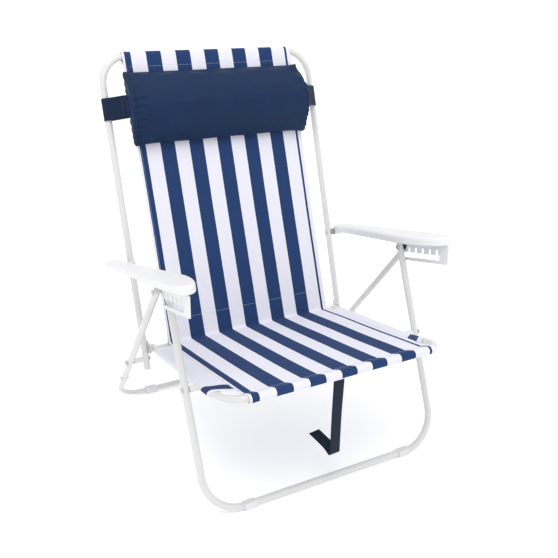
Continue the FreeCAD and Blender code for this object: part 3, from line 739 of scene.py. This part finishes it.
def pillow_start():
    """Closed loft of the profile, ends slightly domed, a little smaller than the finished pillow."""
    outline = pillow_profile(64)
    middle = outline.mean(axis=0)
    verts, faces = [], []
    xs = np.linspace(-PILLOW_HALF - 0.001, PILLOW_HALF - 0.006, 60)
    for x in xs:
        for along, off in outline:
            verts.append(back_point(x, along, off))
    count = len(outline)
    for i in range(len(xs) - 1):
        for k in range(count):
            a, b = i * count + k, i * count + (k + 1) % count
            faces.append([a, b, b + count, a + count])
    for end, x in ((0, -PILLOW_HALF - 0.005), (len(xs) - 1, PILLOW_HALF - 0.002)):
        tip = len(verts)
        verts.append(back_point(x, *middle))
        for k in range(count):
            a, b = end * count + k, end * count + (k + 1) % count
            faces.append([a, b, tip] if end else [tip, b, a])
    return mesh_object("headrest_bolster", verts, faces)


def run_modifier(obj, modifier):
    bpy.context.view_layer.objects.active = obj
    for other in bpy.context.selected_objects:
        other.select_set(False)
    obj.select_set(True)
    bpy.ops.object.modifier_apply(modifier=modifier.name)


def puff(obj, frames=20, pressure=4.0, cap=0.007):
    """Swell a closed cloth with a pressure simulation, no point moving further than cap."""
    start = np.array([v.co for v in obj.data.vertices])
    cloth = obj.modifiers.new("swell", "CLOTH")
    settings = cloth.settings
    settings.use_pressure = True
    settings.uniform_pressure_force = pressure
    settings.effector_weights.gravity = 0.0
    settings.quality = 6
    settings.mass = 0.3
    settings.tension_stiffness = 18
    settings.compression_stiffness = 18
    settings.bending_stiffness = 0.4
    cloth.point_cache.frame_end = frames
    scene = bpy.context.scene
    for number in range(1, frames + 1):
        scene.frame_set(number)
    done = obj.evaluated_get(bpy.context.evaluated_depsgraph_get())
    end = np.array([v.co for v in done.data.vertices])
    move = end - start
    size = np.linalg.norm(move, axis=1, keepdims=True)
    end = start + move * np.minimum(1.0, cap / np.maximum(size, 1e-9))
    obj.modifiers.remove(cloth)
    scene.frame_set(1)
    obj.data.vertices.foreach_set("co", end.astype(np.float32).ravel())
    obj.data.update()


pillow = pillow_start()
remesh = pillow.modifiers.new("even", "REMESH")
remesh.mode = "VOXEL"
remesh.voxel_size = 0.005
run_modifier(pillow, remesh)
puff(pillow)

# gathers where the end panels are sewn in, and long soft creases on the front
END_SEAM = PILLOW_HALF - 0.013
GATHER_PITCH = 0.017
SLIDE_DOWN = 0.10                 # travel of the pillow towards the crease
co = np.array([v.co for v in pillow.data.vertices])
normals = np.array([v.normal for v in pillow.data.vertices])
yz = co[:, 1:] - P4
along = yz @ BACK_UP
off = yz @ BACK_FRONT
for i in range(len(co)):
    x = co[i, 0]
    end_gap = END_SEAM - abs(x)
    around = along[i] + 0.9 * off[i]
    wave = 2 * math.pi * around / GATHER_PITCH + 2.5 * smooth_noise(x, around, 31.0, 20.0)
    gather = 0.0026 * math.exp(-(end_gap / 0.024) ** 2) * math.sin(wave)
    groove = -0.0016 * math.exp(-(end_gap / 0.0028) ** 2)
    crease = 0.0022 * smooth_noise(x * 0.40, along[i], 41.0, 22.0)
    rear = 1.0 if off[i] > 0.026 else 0.25
    co[i] += normals[i] * (gather + groove + crease) * rear

# its rear stays clear of the back panel over the whole slide
panel = TOP_BAR + SKIN * BACK_FRONT - CREASE
lean = (panel @ BACK_FRONT) / (panel @ BACK_UP)
along = (co[:, 1:] - P4) @ BACK_UP
panel_off = (CREASE - P4) @ BACK_FRONT + (along - (CREASE - P4) @ BACK_UP) * lean
least_off = panel_off - SLIDE_DOWN * lean + 0.0024
push = np.maximum(0, least_off - ((co[:, 1:] - P4) @ BACK_FRONT))
co[:, 1:] += push[:, None] * BACK_FRONT
pillow.data.vertices.foreach_set("co", co.astype(np.float32).ravel())
pillow.data.update()
smooth = pillow.modifiers.new("finish", "SUBSURF")
smooth.levels = smooth.render_levels = 1
run_modifier(pillow, smooth)
for poly in pillow.data.polygons:
    poly.use_smooth = True
dress(pillow, PILLOW_CLOTH)
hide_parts("headrest_pillow")
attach(pillow, "pillow")

# welted seam round each end panel
skin = BVHTree.FromPolygons([v.co for v in pillow.data.vertices],
                            [p.vertices[:] for p in pillow.data.polygons])
welt_outline = pillow_profile(150)
welt_middle = welt_outline.mean(axis=0)
for label, sign in (("left", -1.0), ("right", 1.0)):
    welt = []
    for place in welt_outline:
        start = Vector(back_point(sign * END_SEAM, *(welt_middle + (place - welt_middle) * 1.6)))
        target = Vector(back_point(sign * END_SEAM, *welt_middle))
        hit, normal, _, _ = skin.ray_cast(start, (target - start).normalized())
        if hit is None:
            hit, normal, _, _ = skin.find_nearest(start)
        welt.append(np.array(hit) + np.array(normal) * 0.0002)
    seam = cord_mesh("pillow_end_welt_" + label, welt, WELT_R, closed=True)
    dress(seam, PILLOW_CLOTH)
    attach(seam, "pillow")

# ---- webbing loops that hold the pillow on the back tubes --------------------------------------
STRAP_LOW, STRAP_HIGH = 0.580, 0.632
STRAP_THICK = 1.7 * MM
STRAP_R = TUBE_R + 0.0012


def strap_loop():
    """(x, off) points of the loop from the pillow end round the tube and back."""
    front_end = np.array([PILLOW_HALF - 0.009, 0.0465])
    rear_end = np.array([PILLOW_HALF - 0.009, 0.0330])
    axis = np.array([BACK_X, 0.0])

    def touch(p, sign):
        d = p - axis
        return math.atan2(d[1], d[0]) + sign * math.acos(STRAP_R / np.linalg.norm(d))

    t0 = touch(front_end, -1.0)
    t1 = touch(rear_end, 1.0)
    while t1 > t0:
        t1 -= 2 * math.pi
    arc = [axis + STRAP_R * np.array([math.cos(t), math.sin(t)]) for t in np.linspace(t0, t1, 26)]
    front = [front_end + (arc[0] - front_end) * t for t in np.linspace(0, 1, 12)[:-1]]
    rear = [arc[-1] + (rear_end - arc[-1]) * t for t in np.linspace(0, 1, 12)[1:]]
    return np.array(front + arc + rear)


loop2d = strap_loop()
loop_run = arc_length(loop2d)
wide = np.linspace(STRAP_LOW, STRAP_HIGH, 14)
strap_grid = np.zeros((len(loop2d), len(wide), 3))
for i, (x, o) in enumerate(loop2d):
    for j, a in enumerate(wide):
        ripple = 0.0005 * smooth_noise(loop_run[i], a, 51.0, 40.0)
        strap_grid[i, j] = back_point(x, a, o + ripple)
strap_uv = grid_uv(wide, loop_run)
for label, g in (("right", strap_grid), ("left", mirrored(strap_grid))):
    strap = sheet_solid("pillow_strap_" + label + "_webbing", g, STRAP_THICK, strap_uv)
    dress(strap, NAVY_WEBBING)
    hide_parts("pillow_strap_" + label)
    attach(strap, "pillow")
    outward = grid_normals(g)
    if outward[3, 7] @ np.array([0.0, *BACK_FRONT]) < 0:
        outward = -outward
    seams = []
    for number, row in enumerate((2, 4)):
        surface = g[row, 1:-1] + outward[row, 1:-1] * STRAP_THICK / 2
        seams.append(dress(stitch_row("strap_seam_%s_%d" % (label, number), surface, outward[row, 1:-1]),
                           NAVY_THREAD))
        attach(seams[-1], "pillow")

# ---- closing strap -----------------------------------------------------------------------------
closing_low, closing_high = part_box("closing_strap")
STRAP_MID = (closing_low.x + closing_high.x) / 2
STRAP_WIDE = 1.12 * (closing_high.x - closing_low.x)
hang = rounded_path([
    FRONT_BAR + np.array([-0.0022, -0.0118]),
    FRONT_BAR + np.array([0.0010, -0.090]),
    FRONT_BAR + np.array([0.0020, -0.1970]),
    FRONT_BAR + np.array([0.024, -0.1868]),
    FRONT_BAR + np.array([0.079, -0.1808])], [0.30, 0.0045, 0.05], 0.003)
hang_run = arc_length(hang)
cols = np.linspace(-STRAP_WIDE / 2, STRAP_WIDE / 2, 9)
hang_grid = np.zeros((len(hang), len(cols), 3))
fold_at = hang_run[np.argmin(hang[:, 1])]
for i, p in enumerate(hang):
    past = max(0.0, hang_run[i] - fold_at)
    drift = -0.0015 * hang_run[i] / hang_run[-1] - 0.07 * past
    for j, c in enumerate(cols):
        cup = 0.0012 * (2 * c / STRAP_WIDE) ** 2 * math.sin(math.pi * min(1.0, past / 0.08))
        twist = 0.10 * c * math.sin(math.pi * hang_run[i] / hang_run[-1])
        tilt = 0.12 * c * min(1.0, past / 0.03)
        hang_grid[i, j] = (STRAP_MID + c + drift, p[0] + twist, p[1] + cup + tilt)
closing = sheet_solid("closing_strap_webbing", hang_grid, 1.6 * MM, grid_uv(cols, hang_run))
dress(closing, DARK_WEBBING)
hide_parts("closing_strap")
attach(closing, "front_strap")

# ---- floor, light and camera -------------------------------------------------------------------
FLOOR_HALF = 60
floor_corners = [(x * FLOOR_HALF, y * FLOOR_HALF, 0) for x, y in ((-1, -1), (1, -1), (1, 1), (-1, 1))]
floor = mesh_object("studio_floor", floor_corners, [[0, 1, 2, 3]], False)
floor_shader = Shader("pale_floor", 0.9)
floor_shader.plain(Emission_Color=(1.0, 1.0, 1.0, 1.0), Emission_Strength=0.22, Specular_IOR_Level=0.1)
floor_tone = floor_shader.noise(floor_shader.mapping((1, 1, 1)), 3.0)
dress(floor, floor_shader.finish(floor_shader.mix(floor_tone, (0.90, 0.90, 0.90), (0.93, 0.93, 0.93))))

world = bpy.data.worlds.new("studio")
bpy.context.scene.world = world
bpy.context.scene.view_settings.view_transform = "Standard"
world.use_nodes = True
world.node_tree.nodes["Background"].inputs["Color"].default_value = (1.0, 1.0, 1.0, 1.0)
world.node_tree.nodes["Background"].inputs["Strength"].default_value = 1.0


def area_light(name, place, target, size, power):
    data = bpy.data.lights.new(name, "AREA")
    data.size = size
    data.energy = power
    lamp = bpy.data.objects.new(name, data)
    bpy.context.scene.collection.objects.link(lamp)
    lamp.location = place
    lamp.rotation_euler = (Vector(target) - Vector(place)).to_track_quat("-Z", "Y").to_euler()


area_light("key", (-0.9, -1.1, 3.4), (0, 0, 0.3), 2.0, 40)
area_light("fill", (2.4, -1.2, 1.8), (0, 0, 0.4), 2.5, 6)

CAMERA_AT = Vector((-0.7677, -1.4393, 1.0363))
CAMERA_WAY = Vector((0.4473, 0.8150, -0.3683))
CAMERA_ROLL = math.radians(0.46)
camera_data = bpy.data.cameras.new("camera")
camera_data.lens = 47.2
camera_data.sensor_width = 36.0
camera = bpy.data.objects.new("camera", camera_data)
bpy.context.scene.collection.objects.link(camera)
camera_turn = CAMERA_WAY.to_track_quat("-Z", "Y").to_matrix().to_4x4()
camera.matrix_world = Matrix.Translation(CAMERA_AT) @ camera_turn @ Matrix.Rotation(CAMERA_ROLL, 4, "Z")
bpy.context.scene.camera = camera
